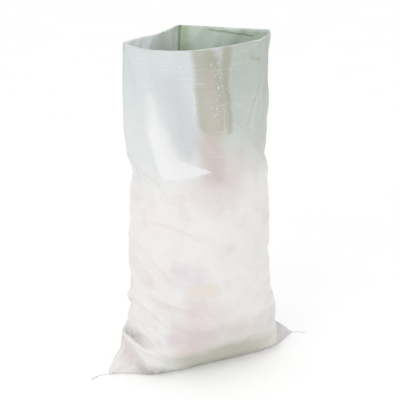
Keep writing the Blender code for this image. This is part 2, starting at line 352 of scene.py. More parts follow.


# Tones of the cloth, of what shows through it, and of painted light and shade
HIGHLIGHT_WHITE = (0.80, 0.80, 0.80)
EDGE_HIGHLIGHT = (0.90, 0.90, 0.90)
SHADE_GREY = (0.55, 0.55, 0.55)
BLUE_GREY = (0.55, 0.55, 0.60)
SHADE_GREEN_GREY = (0.40, 0.45, 0.40)
OLIVE = (0.35, 0.35, 0.25)
BROWN = (0.50, 0.45, 0.40)
PINK = (0.65, 0.50, 0.50)
LILAC = (0.70, 0.55, 0.65)
OCHRE = (0.70, 0.60, 0.45)
CREASE_SHADE = (0.35, 0.35, 0.30)
FOOT_DIRT_AND_SHADE = (0.20, 0.20, 0.15)
INNER_SHADE_GREEN = (0.35, 0.45, 0.25)
INNER_FOLD_SHADE = (0.10, 0.15, 0.05)
INNER_HIGHLIGHT = (0.80, 0.90, 0.85)

# Rubble that shows through the front, and low down painted shade where the sack curves under: (distance
# round, distance up), (half sizes), tone, share
RUBBLE_TINTS_AND_SHADE = (
    ((0.250, 0.600), (0.085, 0.050), PINK, 0.35),
    ((0.160, 0.380), (0.065, 0.040), LILAC, 0.3),
    ((0.220, 0.350), (0.040, 0.025), OCHRE, 0.45),
    ((0.205, 0.250), (0.080, 0.080), PINK, 0.35),
    ((0.140, 0.190), (0.030, 0.020), LILAC, 0.45),
    ((0.215, 0.205), (0.035, 0.025), LILAC, 0.4),
    ((0.300, 0.190), (0.160, 0.060), BROWN, 0.35),
    # Painted shade: the sack's under-curve, darker where it meets the floor
    ((0.290, 0.120), (0.160, 0.055), OLIVE, 0.75),
)

# Marks on the outside: start, end, half breadths, softness, tone, share
OUTSIDE_MARKS = (
    # The shaded side of the left panel as painted shade, and a painted highlight on the crease at its end
    ((0.165, 0.870), (0.195, 0.720), (0.025, 0.025), 0.020, BLUE_GREY, 0.7),
    ((0.210, 0.860), (0.210, 0.800), (0.001, 0.001), 0.0015, HIGHLIGHT_WHITE, 0.6),
    # The strip where the layer behind shows through, brown in its middle and lighter under the rim: painted
    # shade of the hollow inside and of the back layer seen through the cloth
    ((0.250, 0.760), (0.245, 0.650), (0.036, 0.030), 0.016, BROWN, 0.5),
    ((0.250, 0.990), (0.250, 0.780), (0.038, 0.036), 0.008, OLIVE, 0.7),
    ((0.260, 0.890), (0.250, 0.730), (0.015, 0.020), 0.016, BROWN, 0.8),
    ((0.290, 0.975), (0.295, 0.925), (0.045, 0.005), 0.012, SHADE_GREY, 0.8),
    ((0.310, 0.950), (0.290, 0.750), (0.015, 0.005), 0.008, OLIVE, 0.8),
    ((0.280, 0.815), (0.275, 0.640), (0.002, 0.002), 0.002, SHADE_GREY, 0.6),
    # The top of the rubble behind its lower end
    ((0.245, 0.700), (0.245, 0.640), (0.032, 0.030), 0.024, PINK, 0.45),
    ((0.310, 0.690), (0.300, 0.640), (0.020, 0.025), 0.016, PINK, 0.35),
    # The right panel's olive patch, and painted shade along its crease
    ((0.390, 0.915), (0.420, 0.905), (0.004, 0.004), 0.011, OLIVE, 0.8),
    ((0.440, 0.885), (0.400, 0.810), (0.0015, 0.0025), 0.003, CREASE_SHADE, 0.6),
    ((0.400, 0.810), (0.395, 0.745), (0.0025, 0.0015), 0.003, CREASE_SHADE, 0.6),
    # The drawn fold that bends into a point, as a painted highlight where the cloth faces the lamp
    ((0.110, 0.835), (0.120, 0.740), (0.005, 0.025), 0.018, HIGHLIGHT_WHITE, 0.9),
    ((0.120, 0.740), (0.135, 0.690), (0.025, 0.030), 0.012, HIGHLIGHT_WHITE, 0.9),
    ((0.140, 0.670), (0.240, 0.650), (0.030, 0.000), 0.004, HIGHLIGHT_WHITE, 1.0),
    # The empty right ear in painted shade, and a painted highlight on the folded edge beside it
    ((0.555, 0.085), (0.490, 0.020), (0.030, 0.040), 0.012, SHADE_GREY, 0.7),
    ((0.515, 0.120), (0.450, 0.075), (0.0015, 0.0015), 0.0015, EDGE_HIGHLIGHT, 0.9),
    # A painted highlight along the cut edge of the tapes
    ((0.000, 0.950), (0.540, 0.950), (0.0015, 0.0015), 0.0012, HIGHLIGHT_WHITE, 0.75),
)

# Marks on the inside: painted shade in the back crease with darker green beside it, and on the fold of the
# back right wall a painted highlight above a painted shade line
INSIDE_MARKS = (
    ((0.795, 0.960), (0.800, 0.700), (0.015, 0.002), 0.014, INNER_SHADE_GREEN, 0.6),
    ((0.810, 0.965), (0.815, 0.700), (0.004, 0.000), 0.004, INNER_FOLD_SHADE, 0.8),
    ((0.690, 0.947), (0.560, 0.945), (0.0035, 0.0050), 0.002, INNER_HIGHLIGHT, 0.7),
    ((0.735, 0.943), (0.620, 0.931), (0.0010, 0.0020), 0.0015, INNER_FOLD_SHADE, 0.7),
)


def wandering(tree, value, shift, breadth):
    """A place on the cloth, moved by noise by up to half the breadth either way."""
    return calculate(tree, "MULTIPLY_ADD", shift, breadth, calculate(tree, "SUBTRACT", value, breadth / 2))


def cloth_surface(name, tones, filled_tone, tints_and_shade, marks, roughness):
    """White tape cloth: tones round the empty part with painted shade, rubble tints in the full part, and
    painted highlights, shade and glints.
    """
    made, tree, shader, places = new_material(name, roughness, IOR=1.49)
    around, up, _ = separated(tree, places.outputs["UV"])
    where = places.outputs["Object"]
    height = separated(tree, where)[2]
    wander = tree.nodes.new("ShaderNodeTexNoise")
    feed(tree, wander.inputs["Vector"], where)
    feed(tree, wander.inputs["Scale"], 14.0)
    feed(tree, wander.inputs["Detail"], 5.0)
    shift_round, shift_up, _ = separated(tree, wander.outputs["Color"])
    tint_round = wandering(tree, around, shift_round, 0.08)
    tint_up = wandering(tree, up, shift_up, 0.08)
    rough_round = wandering(tree, around, shift_up, 0.024)
    rough_up = wandering(tree, up, shift_round, 0.014)
    tone = tones[0][1]
    for begins, colour, blur in tones[1:]:
        tone = mixed(tree, fade(tree, around, begins - blur, begins + blur), tone, colour)
    marbling = clouds(tree, where, 26.0, 6.0, 0.6)
    duller = tuple(0.94 * part for part in filled_tone)
    filled = mixed(tree, fade(tree, marbling, 0.35, 0.70), filled_tone, duller)
    warmth = clouds(tree, where, 9.0, 3.0)
    warm = (filled_tone[0], filled_tone[1] * 0.96, filled_tone[2] * 0.95)
    filled = mixed(tree, fade(tree, warmth, 0.45, 0.70), filled, warm)
    if tints_and_shade:
        brick = fade(tree, clouds(tree, where, 12.0, 3.0), 0.52, 0.72, 0.0, 0.30)
        filled = mixed(tree, brick, filled, PINK)
    # Rubble tints through the front, and painted shade at the under-curve
    for centre, size, colour, share in tints_and_shade:
        mask = calculate(tree, "MULTIPLY", spot(tree, tint_round, tint_up, centre, size), share)
        filled = mixed(tree, mask, filled, colour)
    lighter = fade(tree, height, 0.80, 0.58)
    tone = mixed(tree, calculate(tree, "MULTIPLY", lighter, 0.40), tone, filled_tone)
    ragged = calculate(tree, "MULTIPLY_ADD", shift_up, 0.12, calculate(tree, "SUBTRACT", height, 0.06))
    colour = mixed(tree, fade(tree, ragged, 0.49, 0.60), filled, tone)
    for start, end, breadths, soft, tint, share in marks:
        mask = stroke(tree, rough_round, rough_up, start, end, breadths, soft)
        colour = mixed(tree, calculate(tree, "MULTIPLY", mask, share), colour, tint)
    # Darker at the foot of the front and sides: partly dirt from the ground, partly painted shade where the
    # sack meets the floor
    if tints_and_shade:
        side_way = calculate(tree, "ABSOLUTE", separated(tree, where)[0])
        foot = calculate(tree, "MULTIPLY", fade(tree, height, 0.045, 0.0), fade(tree, side_way, 0.235, 0.170))
        dirt = fade(tree, clouds(tree, where, 40.0, 5.0, 0.6), 0.25, 0.60, 0.2, 0.8)
        colour = mixed(tree, calculate(tree, "MULTIPLY", foot, dirt), colour, FOOT_DIRT_AND_SHADE)
    woven = weave(tree, around, up)
    colour = mixed(tree, fade(tree, woven, 0.75, 0.05, 0.0, 0.12), colour, (0.40, 0.41, 0.39))
    level_streaks = clouds(tree, stretched(tree, places.outputs["UV"], (16.0, 240.0, 1.0)), 1.0, 3.0, 0.6)
    colour = mixed(tree, fade(tree, level_streaks, 0.55, 0.75, 0.0, 0.30), colour, (0.88, 0.89, 0.89))
    upright_streaks = clouds(tree, stretched(tree, places.outputs["UV"], (260.0, 14.0, 1.0)), 1.0, 3.0, 0.6)
    dark_streaks = fade(tree, upright_streaks, 0.55, 0.75, 0.0, 0.20)
    dark_streaks = calculate(tree, "MULTIPLY", dark_streaks, fade(tree, height, 0.50, 0.60))
    colour = mixed(tree, dark_streaks, colour, (0.36, 0.37, 0.35))
    flecks = clouds(tree, stretched(tree, places.outputs["UV"], (700.0, 180.0, 1.0)), 1.0, 2.0)
    colour = mixed(tree, fade(tree, flecks, 0.30, 0.70, 0.0, 0.10), colour, (1.0, 1.0, 1.0))
    # Painted glints: lighter specks in the listed areas
    if tints_and_shade:
        glint = clouds(tree, stretched(tree, places.outputs["UV"], (150.0, 110.0, 1.0)), 1.0, 4.0, 0.65)
        glint = fade(tree, glint, 0.58, 0.66, 0.0, 0.7)
        for start, end, breadths in GLINTS:
            mask = stroke(tree, around, up, start, end, breadths, 0.008)
            colour = mixed(tree, calculate(tree, "MULTIPLY", mask, glint), colour, (0.84, 0.84, 0.82))
    feed(tree, shader.inputs["Base Color"], colour)
    streaked = calculate(tree, "MULTIPLY_ADD", upright_streaks, 0.2, roughness - 0.1)
    feed(tree, shader.inputs["Roughness"], streaked)
    crinkle = cells(tree, where, 60.0)
    crumpled = relief(tree, crinkle, 0.0015, 0.25)
    feed(tree, shader.inputs["Normal"], relief(tree, woven, 0.00035, 0.6, crumpled))
    return made


# Painted glints, lighter specks painted where crinkles would catch the light: start, end and half breadths of
# the areas that have them
GLINTS = (
    ((0.278, 0.898), (0.290, 0.860), (0.020, 0.022)),
    ((0.262, 0.835), (0.262, 0.760), (0.012, 0.007)),
    ((0.195, 0.940), (0.186, 0.865), (0.010, 0.014)),
    ((0.328, 0.905), (0.326, 0.800), (0.004, 0.006)),
)

# The empty part's tone round the sack: darker than the full part as painted shade of the hollow inside seen
# through the cloth, and darker still from the front towards the right fold as painted shade of the side
# turned from the lamp
OUTSIDE_TONES = (
    (0.0, (0.60, 0.65, 0.65), 0.0),
    (0.250, (0.45, 0.50, 0.45), 0.01),
    (0.430, SHADE_GREEN_GREY, 0.03),
    (0.590, (0.55, 0.60, 0.60), 0.04),
)
# The inside's tone round the sack: pale on the left walls and green on the back right wall, partly painted
# light and shade, the left walls lit and the back right wall in shade
INSIDE_TONES = (
    (0.0, (0.80, 0.85, 0.85), 0.0),
    (0.54, (0.60, 0.70, 0.60), 0.03),
    (0.812, (0.80, 0.85, 0.80), 0.015),
    (0.960, (0.80, 0.85, 0.85), 0.04),
)


def rim_surface():
    """The raw cut edge of the tapes, with their ends showing side by side."""
    made, tree, shader, places = new_material("cut_edge", 0.5)
    around = separated(tree, places.outputs["UV"])[0]
    ends = calculate(tree, "SINE", calculate(tree, "MULTIPLY", around, math.pi / TAPE))
    shade = fade(tree, calculate(tree, "ABSOLUTE", ends), 0.0, 0.4)
    feed(tree, shader.inputs["Base Color"], mixed(tree, shade, (0.62, 0.65, 0.63), (0.88, 0.90, 0.89)))
    return made


# The other materials


def thread_surface():
    made, tree, shader, places = new_material("sewing_thread", 0.75)
    around, along, _ = separated(tree, places.outputs["UV"])
    twist = calculate(tree, "MULTIPLY_ADD", along, 2200.0, calculate(tree, "MULTIPLY", around, 12.566))
    strands = calculate(tree, "MULTIPLY_ADD", calculate(tree, "SINE", twist), 0.5, 0.5)
    dirt = clouds(tree, places.outputs["Object"], 300.0)
    colour = mixed(tree, strands, (0.52, 0.52, 0.49), (0.80, 0.80, 0.77))
    dirty = fade(tree, dirt, 0.5, 0.8, 0.0, 0.5)
    feed(tree, shader.inputs["Base Color"], mixed(tree, dirty, colour, (0.38, 0.35, 0.31)))
    feed(tree, shader.inputs["Normal"], relief(tree, strands, 0.0002, 0.6))
    return made


def broken_surface(name, body, deep, speck, dust, grain):
    """Fired clay, mortar or concrete: uneven colour, grit, pores, and pale dust on what faces up."""
    made, tree, shader, places = new_material(name, 0.9)
    where = places.outputs["Object"]
    uneven = clouds(tree, where, 28.0, 6.0, 0.6)
    grit = cells(tree, where, grain, "Color")
    grit_share = fade(tree, separated(tree, grit)[0], 0.80, 0.86)
    pores = fade(tree, clouds(tree, where, grain * 0.8, 2.0), 0.62, 0.70)
    facing_up = separated(tree, places.outputs["Normal"])[2]
    patches = fade(tree, clouds(tree, where, 55.0, 5.0), 0.35, 0.65)
    powder = calculate(tree, "MULTIPLY", fade(tree, facing_up, 0.1, 0.9), patches)
    colour = mixed(tree, fade(tree, uneven, 0.35, 0.65), body, deep)
    colour = mixed(tree, grit_share, colour, speck)
    colour = mixed(tree, calculate(tree, "MULTIPLY", pores, 0.6), colour, tuple(0.4 * part for part in deep))
    powder_share = calculate(tree, "MULTIPLY", powder, 0.75)
    feed(tree, shader.inputs["Base Color"], mixed(tree, powder_share, colour, dust))
    pitted = calculate(tree, "MULTIPLY", pores, 0.5)
    height = calculate(tree, "SUBTRACT", clouds(tree, where, grain * 0.5, 8.0, 0.65), pitted)
    feed(tree, shader.inputs["Normal"], relief(tree, height, 0.0016, 0.8))
    return made


# Of each kind of rubble: its body, its deep places, its grit, the dust on it, and how fine its grit is
RUBBLE_LOOKS = {
    "brick": (
        (0.40, 0.17, 0.11),
        (0.27, 0.10, 0.07),
        (0.62, 0.50, 0.42),
        (0.60, 0.52, 0.44),
        260.0,
    ),
    "mortar": (
        (0.50, 0.46, 0.39),
        (0.38, 0.34, 0.29),
        (0.66, 0.60, 0.50),
        (0.62, 0.58, 0.52),
        420.0,
    ),
    "concrete": (
        (0.40, 0.39, 0.37),
        (0.29, 0.28, 0.27),
        (0.52, 0.46, 0.40),
        (0.58, 0.56, 0.52),
        150.0,
    ),
    "rubble_dust": (
        (0.46, 0.38, 0.31),
        (0.33, 0.26, 0.21),
        (0.48, 0.24, 0.18),
        (0.58, 0.52, 0.46),
        200.0,
    ),
}


def floor_surface():
    made, tree, shader, places = new_material("pale_floor", 0.9)
    faint = clouds(tree, places.outputs["Object"], 3.0)
    feed(tree, shader.inputs["Base Color"], mixed(tree, faint, (0.78, 0.78, 0.78), (0.82, 0.82, 0.82)))
    shader.inputs["Specular IOR Level"].default_value = 0.0
    shader.inputs["Emission Color"].default_value = (1.0, 1.0, 1.0, 1.0)
    shader.inputs["Emission Strength"].default_value = 0.25
    return made


# Shaping helpers


def add_piece(name, shape, *finishes, smooth=True):
    """Makes a named piece of a bmesh."""
    mesh = bpy.data.meshes.new(name)
    shape.to_mesh(mesh)
    shape.free()
    for face in mesh.polygons:
        face.use_smooth = smooth
    for finish in finishes:
        mesh.materials.append(finish)
    made = bpy.data.objects.new(name, mesh)
    bpy.context.scene.collection.objects.link(made)
    return made


def smooth_line(points, steps):
    """A denser line on a smooth curve through the points."""
    ends = [Vector(p) for p in (points[0], *points, points[-1])]
    line = []
    for a, b, c, d in zip(ends, ends[1:], ends[2:], ends[3:]):
        for step in range(steps):
            t = step / steps
            bend = (2 * a - 5 * b + 4 * c - d) * t**2 + (3 * b - a - 3 * c + d) * t**3
            line.append(0.5 * (2 * b + (c - a) * t + bend))
    return [*line, ends[-1]]


def line_length(line):
    return sum((b - a).length for a, b in zip(line, line[1:]))


def lofted(rings, step_round=1.0, step_up=1.0, fill_ends=True):
    """A skin through rings of equally many points, with UVs that say how far round and up a point lies."""
    shape = bmesh.new()
    uv = shape.loops.layers.uv.new("UVMap")
    columns, rows = len(rings[0]), len(rings) - 1
    bmesh.ops.create_grid(shape, x_segments=columns, y_segments=rows, size=0.5)
    steps = {
        vert: (round((vert.co.x + 0.5) * columns), round((vert.co.y + 0.5) * rows))
        for vert in shape.verts
    }
    for face in shape.faces:
        for loop in face.loops:
            i, j = steps[loop.vert]
            loop[uv].uv = (i * step_round, j * step_up)
    for vert, (i, j) in steps.items():
        vert.co = rings[j][i % columns]
    bmesh.ops.remove_doubles(shape, verts=shape.verts, dist=1e-7)
    if fill_ends:
        bmesh.ops.holes_fill(shape, edges=[edge for edge in shape.edges if edge.is_boundary], sides=0)
    return shape


def tube(line, radius, sides=12, lobes=0, turns=0.0):
    """A round tube along a line, or a twisted one with lobes like the plies of a thread."""
    rings = []
    side = Vector((0.0, 0.0, 1.0))
    for k, point in enumerate(line):
        ahead = (line[min(k + 1, len(line) - 1)] - line[max(k - 1, 0)]).normalized()
        side = (side - ahead * side.dot(ahead)).normalized()
        other = ahead.cross(side)
        ring = []
        for corner in range(sides):
            turn = 2 * math.pi * corner / sides
            twist = turns * 2 * math.pi * k / (len(line) - 1)
            reach = radius * (1 - 0.10 * (1 - math.cos(lobes * (turn - twist)))) if lobes else radius
            ring.append(point + reach * (side * math.cos(turn) + other * math.sin(turn)))
        rings.append(ring)
    return lofted(rings, step_round=1.0 / sides, step_up=line_length(line) / (len(line) - 1))


def joined(shapes):
    """One bmesh of several."""
    whole = bmesh.new()
    for shape in shapes:
        mesh = bpy.data.meshes.new("part")
        shape.to_mesh(mesh)
        shape.free()
        whole.from_mesh(mesh)
        bpy.data.meshes.remove(mesh)
    return whole


# Simulation of the cloth


def mouth_plan(columns):
    """The plan of the rim at even steps round it."""
    corners = np.array([*MOUTH, MOUTH[0]]) * MOUTH_SCALE
    at = np.concatenate([[0], np.cumsum(np.hypot(*np.diff(corners, axis=0).T))])
    even = (MOUTH_TURN + np.arange(columns) / columns * at[-1]) % at[-1]
    return np.stack([np.interp(even, at, corners[:, 0]) + MOUTH_SHIFT, np.interp(even, at, corners[:, 1])])


def standing_tube(rows, columns):
    """A first, crude shape: flat on the floor near the seam, then up the sides to the mouth."""
    across = 1 - np.abs(1 - np.arange(columns) / (columns / 2))
    face = np.where(np.arange(columns) <= columns // 2, -1.0, 1.0)
    turn = math.pi * (1 - across)
    mouth = mouth_plan(columns)
    flat_part = 0.075
    up = np.arange(rows + 1)[:, None] / rows * TUBE_LENGTH
    height = np.clip((up - flat_part) / (TUBE_LENGTH - flat_part), 0, 1) * RIM_HEIGHT
    rounding = np.clip(height / 0.16, 0, 1)
    wide = SEAM_END - 0.090 * rounding
    deep = 0.075 * np.clip(up / flat_part, 0, 1) + 0.095 * rounding**0.7
    share = np.clip((height - FILL_HEIGHT) / (RIM_HEIGHT - FILL_HEIGHT), 0, 1)
    share = share * share * (3 - 2 * share)
    x = wide * np.cos(turn) * (1 - share) + mouth[0] * share
    x = np.where(up < flat_part, SEAM_END * (2 * across - 1), x)
    y = face * deep * np.sin(turn) * (1 - share) + mouth[1] * share
    return np.stack([x, y, np.broadcast_to(np.maximum(height, FLOOR_GAP), x.shape)])


def resized(points, rows, columns):
    """The same cloth with another number of rows and columns."""
    high, wide = points.shape[1:]
    at = np.arange(rows + 1) / rows * (high - 1)
    low = np.minimum(at.astype(int), high - 2)
    share = (at - low)[None, :, None]
    points = points[:, low] * (1 - share) + points[:, low + 1] * share
    at = np.arange(columns) / columns * wide
    low = at.astype(int)
    share = (at - low)[None, None, :]
    return points[:, :, low] * (1 - share) + points[:, :, (low + 1) % wide] * share


def pairs(points, rows, columns):
    """Views on the points that lie so many rows and columns apart, in batches that hold no point twice."""
    high = points.shape[1]
    step = 2 * max(rows, abs(columns))
    found = []
    for first in range(step):
        if not rows:
            near, far = points[:, :, first::step], points[:, :, (first + columns) % step :: step]
            if first + columns < step:
                found.append((near, far))
            else:
                found += [(near[:, :, :-1], far[:, :, 1:]), (near[:, :, -1:], far[:, :, :1])]
            continue
        near = points[:, first : high - rows : step]
        far = points[:, first + rows :: step][:, : near.shape[1]]
        if columns:
            found.append((near[:, :, :-columns], far[:, :, columns:]))
            found.append((near[:, :, -columns:], far[:, :, :columns]))
        else:
            found.append((near, far))
    return found


def pull_together(near, far, rest, share, only_push=False):
    """Moves both points of each pair along the line between them until they are rest apart."""
    gap = far - near
    excess = 1 - rest / (np.sqrt((gap * gap).sum(axis=0)) + 1e-9)
    if only_push:
        excess = np.minimum(0, excess)
    gap *= 0.5 * share * excess
    near += gap
    far -= gap


class Cloth:
    """The tube of cloth as points: rows go up from the seam, and columns round from the left fold."""

    def __init__(self, points, bend, far_bend):
        self.points = np.ascontiguousarray(points, dtype=np.float32)
        high, wide = self.points.shape[1:]
        self.step_round, self.step_up = TUBE_ROUND / wide, TUBE_LENGTH / (high - 1)
        diagonal = math.hypot(self.step_round, self.step_up)
        self.threads = [(*pair, self.step_round, 1.0) for pair in pairs(self.points, 0, 1)]
        self.threads += [(*pair, self.step_up, 1.0) for pair in pairs(self.points, 1, 0)]
        for lean in (1, -1):
            self.threads += [(*pair, diagonal, 0.35) for pair in pairs(self.points, 1, lean)]
        self.stiffness = []
        for reach, share in ((2, bend), (4, far_bend)):
            if share:
                for pair in pairs(self.points, reach, 0):
                    self.stiffness.append((*pair, reach * self.step_up, share))
                self.stiffness += self.round_stiffness(reach, share)
        half = wide // 2
        self.front, self.back = self.points[:, 1:, 1:half], self.points[:, 1:, :half:-1]
        self.seam_front, self.seam_back = self.points[:, 0, 1:half], self.points[:, 0, :half:-1]
        self.rim = mouth_plan(wide)
        from_tip = half / 2 - np.abs(np.arange(wide) % half - half / 2)
        up, from_tip = np.arange(high)[:, None] * self.step_up, from_tip * self.step_round
        self.laid = (up <= from_tip * EAR_LAID) & (from_tip < EAR_LAID_REACH)
        self.guides = [self.guide(*guide) for guide in GUIDES]
        self.drawn = self.drawn_forces()

    def column(self, distance):
        wide = self.points.shape[2]
        return int(round(distance / TUBE_ROUND * wide)) % wide

    def round_stiffness(self, reach, share):
        """Pairs that keep the cloth from bending round the sack, but not across its folds."""
        high, wide = self.points.shape[1:]
        shares = np.full((1, high, wide), share, np.float32)
        up = np.arange(high) * self.step_up
        creased = (up < FOLDS_FADE[0]) | (up > FOLDS_FADE[1])
        for fold in (LEFT_FOLD, FRONT_FOLD, RIGHT_FOLD, BACK_FOLD):
            for k in range(1, reach):
                shares[0, creased, (self.column(fold) - k) % wide] = 0
        return [
            (near, far, reach * self.step_round, weight[0])
            for (near, far), (weight, _) in zip(pairs(self.points, 0, reach), pairs(shares, 0, reach))
        ]

    def guide(self, distance, share, line):
        """A column that is drawn to a line over some of its rows."""
        line = np.array(line)
        up = np.arange(self.points.shape[1]) * self.step_up
        rows = slice(int(np.argmax(up >= line[0, 0])), int(np.argmax(up >= line[-1, 0])) + 1)
        target = np.stack([np.interp(up[rows], line[:, 0], values) for values in line.T[1:]])
        return self.points[: len(target), rows, self.column(distance)], target, share

    def drawn_forces(self):
        high, wide = self.points.shape[1:]
        up = np.arange(high)[:, None] * self.step_up
        around = (np.arange(wide)[None, :] * self.step_round + FRONT_FOLD) % TUBE_ROUND - FRONT_FOLD
        force = np.zeros((high, wide), np.float32)
        for start_round, start_up, end_round, end_up, breadth, strength in PULLS:
            line = np.array([end_round - start_round, end_up - start_up])
            share = ((around - start_round) * line[0] + (up - start_up) * line[1]) / (line @ line)
            share = np.clip(share, 0, 1)
            off_round = around - start_round - share * line[0]
            off_up = up - start_up - share * line[1]
            force += strength * np.exp(-(off_round**2 + off_up**2) / breadth**2)
        return force

    def normals(self):
        points = self.points
        across = np.roll(points, -1, axis=2) - np.roll(points, 1, axis=2)
        up = np.empty_like(points)
        up[:, 1:-1] = points[:, 2:] - points[:, :-2]
        up[:, 0] = 2 * (points[:, 1] - points[:, 0])
        up[:, -1] = 2 * (points[:, -1] - points[:, -2])
        return np.cross(across, up, axis=0) / (4 * self.step_round * self.step_up)

    def hold(self):
        """Keeps the rim, the sewn seam, the stiff creases, the floor and the layers of the ears."""
        points = self.points
        points[:2, -1] = self.rim
        points[2, -1] = RIM_HEIGHT
        middle = (self.seam_front + self.seam_back) / 2
        middle[1] *= 0.5
        middle[2] = FLOOR_GAP + 0.5 * (middle[2] - FLOOR_GAP)
        self.seam_front[:] = middle
        self.seam_back[:] = middle
        for column, end in ((0, -SEAM_END), (points.shape[2] // 2, SEAM_END)):
            points[:, 0, column] = (end, 0.0, FLOOR_GAP)
        for part, target, share in self.guides:
            part += share * (target - part)
        points[2][self.laid] = FLOOR_GAP
        np.maximum(points[2], FLOOR_GAP, out=points[2])
        crossed = np.maximum(0, self.front[1] - self.back[1] + LAYER_GAP) / 2
        crossed = np.where(self.front[2] < 0.15, crossed, 0)
        self.front[1] -= crossed
        self.back[1] += crossed

    def rest_on_rubble(self):
        """Moves points that are inside the rubble out to its side, or down to the floor."""
        low_rows = int(np.argmax(self.points[2].min(axis=1) > RUBBLE_TOP))
        x, y, z = self.points[:, :low_rows]
        shift, reach, side = rubble_side(x, y, z)
        side += lump_relief(np.arctan2(y, x - shift), z)
        side *= np.clip((RUBBLE_TOP - z) / 0.02, 0, 1) ** 0.25
        inside = side > reach
        downwards = inside & (z < side - reach) & (z < 0.03)
        grow = np.where(inside & ~downwards, side / np.maximum(reach, 1e-6), 1)
        x[:] = shift + (x - shift) * grow
        y *= grow
        z[downwards] = FLOOR_GAP

    def settle(self, steps, sweeps, push):
        """Lets the cloth find its rest, blown lightly off the rubble and drawn where the folds are."""
        points = self.points
        speed = np.zeros_like(points)
        for _ in range(steps):
            before = points.copy()
            pressure = np.clip((FILL_HEIGHT + 0.01 - points[2]) / 0.05, 0, 1)
            pressure *= np.clip((0.215 - np.abs(points[0])) / 0.02, 0, 1)
            speed += push * (pressure + self.drawn) * self.normals()
            speed[2] -= push * WEIGHT
            points += speed
            for _ in range(sweeps):
                for near, far, rest, share in self.threads:
                    pull_together(near, far, rest, share)
                for near, far, rest, share in self.stiffness:
                    pull_together(near, far, rest, share, only_push=True)
                self.hold()
            self.rest_on_rubble()
            speed = (points - before) * np.where(points[2] < 2 * FLOOR_GAP, 0.3, 0.9)


def rubble_side(x, y, z):
    """The x of the rubble's middle at a height, a place's distance from it, and the side's that way."""
    wide, deep, shift = (np.interp(z, RUBBLE[:, 0], RUBBLE[:, k]) for k in (1, 2, 3))
    square = np.where(y < 0, BASE_SQUARENESS, 1)
    power = np.clip(square + (1 - square) * z / SQUARE_UP_TO, 0, 1)
    along = np.abs((x - shift) / (wide * SLACK)) ** (2 / power) + np.abs(y / (deep * SLACK)) ** (2 / power)
    reach = np.hypot(x - shift, y)
    return shift, reach, reach / np.maximum(along ** (power / 2), 1e-6)


def lump_map():
    """How far lumps of rubble stand out round the side of the fill, by turn and height."""
    draw = random.Random(4)
    turn = np.linspace(-math.pi, math.pi, 181)[:, None]
    height = np.linspace(0, 0.6, 121)[None, :]
    standing_out = np.zeros((181, 121))
    for _ in range(46):
        at, level = draw.uniform(-math.pi, math.pi), draw.uniform(0.05, 0.50)
        size, rise = draw.uniform(0.020, 0.045), draw.uniform(0.0, 0.006)
        gap = np.angle(np.exp(1j * (turn - at))) * 0.175
        standing_out += rise * np.exp(-(gap**2 + (height - level) ** 2) / size**2)
    return standing_out


LUMPS = lump_map()


def lump_relief(turn, z):
    i = np.clip(((turn + math.pi) / (2 * math.pi) * 180).round().astype(int), 0, 180)
    j = np.clip((z / 0.005).round().astype(int), 0, 120)
    return LUMPS[i, j]


def simulated_cloth():
    """From a coarse grid to a fine one, so that large folds come before small ones."""
    cloth = Cloth(standing_tube(62, 72), bend=0.3, far_bend=0.1)
    cloth.settle(200, 8, 0.00006)
    cloth = Cloth(resized(cloth.points, 124, 144), bend=0.3, far_bend=0.05)
    cloth.settle(120, 8, 0.00002)
    cloth = Cloth(resized(cloth.points, 184, 216), bend=0.3, far_bend=0.0)
    cloth.settle(60, 8, 0.00001)
    return cloth


# The pieces


def make_cloth(cloth):
    """The sack: the simulated tube, sewn along its bottom, with its wall thickness inwards."""
    rings = np.moveaxis(cloth.points, 0, -1).tolist()
    shape = lofted(rings, cloth.step_round, cloth.step_up, fill_ends=False)
    outside = cloth_surface("woven_cloth", OUTSIDE_TONES, (0.80, 0.79, 0.775), RUBBLE_TINTS_AND_SHADE, OUTSIDE_MARKS, 0.42)
    inside = cloth_surface("woven_cloth_inside", INSIDE_TONES, (0.58, 0.55, 0.52), (), INSIDE_MARKS, 0.5)
    piece = add_piece("sack_cloth", shape, outside, inside, rim_surface())
    wall = piece.modifiers.new("wall", "SOLIDIFY")
    wall.thickness = CLOTH
    wall.offset = -1.0
    wall.material_offset = 1
    wall.material_offset_rim = 2
    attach(piece, "root")
    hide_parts("sack")
    return piece


def thread_route(side, route):
    points = [Vector((side * (THREAD_START + beyond), y, z)) for beyond, y, z in route]
    return smooth_line(points, 8)


def knot(centre, size, turn):
    """A small tight overhand knot."""
    line = []
    for k in range(61):
        t = 2 * math.pi * k / 60 * 0.96
        line.append(
            Vector(
                (
                    (math.sin(t) + 2 * math.sin(2 * t)) * size / 6,
                    (math.cos(t) - 2 * math.cos(2 * t)) * size / 6,
                    -math.sin(3 * t) * size / 7,
                )
            )
        )
    shape = tube(line, THREAD_DIAMETER / 2, sides=10)
    bmesh.ops.rotate(shape, cent=(0, 0, 0), matrix=Euler((0.0, 0.0, turn)).to_matrix(), verts=shape.verts)
    lowest = min(vert.co.z for vert in shape.verts)
    bmesh.ops.translate(shape, vec=centre - Vector((0, 0, lowest)), verts=shape.verts)
    return shape


